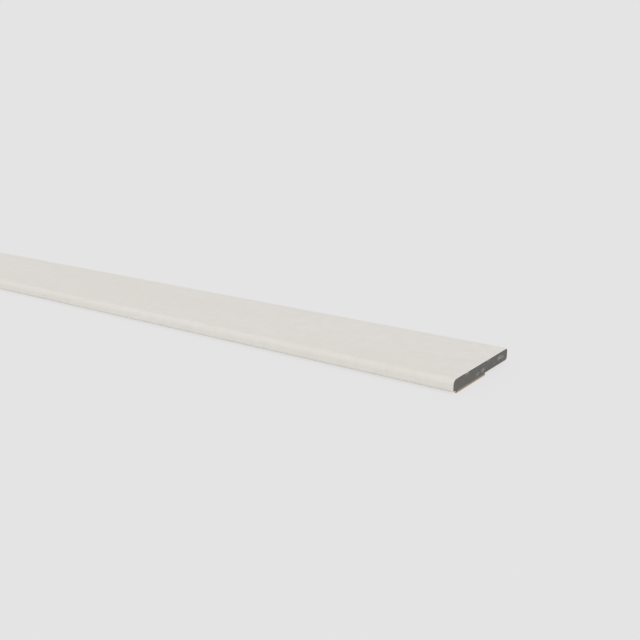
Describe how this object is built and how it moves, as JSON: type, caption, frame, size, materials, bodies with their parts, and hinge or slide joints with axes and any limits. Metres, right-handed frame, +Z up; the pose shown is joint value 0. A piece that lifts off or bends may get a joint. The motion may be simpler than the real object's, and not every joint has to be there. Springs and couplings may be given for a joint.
{
  "type": "self-adhesive vinyl trim plank",
  "caption": "Long flat floor trim plank: a dark rigid core wrapped in pale stone-look vinyl film with a rounded front edge, stuck down by a foam tape under its front half.",
  "frame": {"origin": "under the middle of the plank, on the surface that the tape is stuck to", "axes": "+X along the plank's length, towards the end that the picture shows; -Y towards the rounded front edge; +Z up, out of the decor face"},
  "size_m": [2.4, 0.05, 0.0064],
  "materials": {
    "core": "matte",
    "decor_film": "satin",
    "adhesive_tape": "matte"
  },
  "bodies": {
    "root": {"core": "core", "decor_film": "decor_film", "adhesive_tape": "adhesive_tape"}
  },
  "joints": []
}
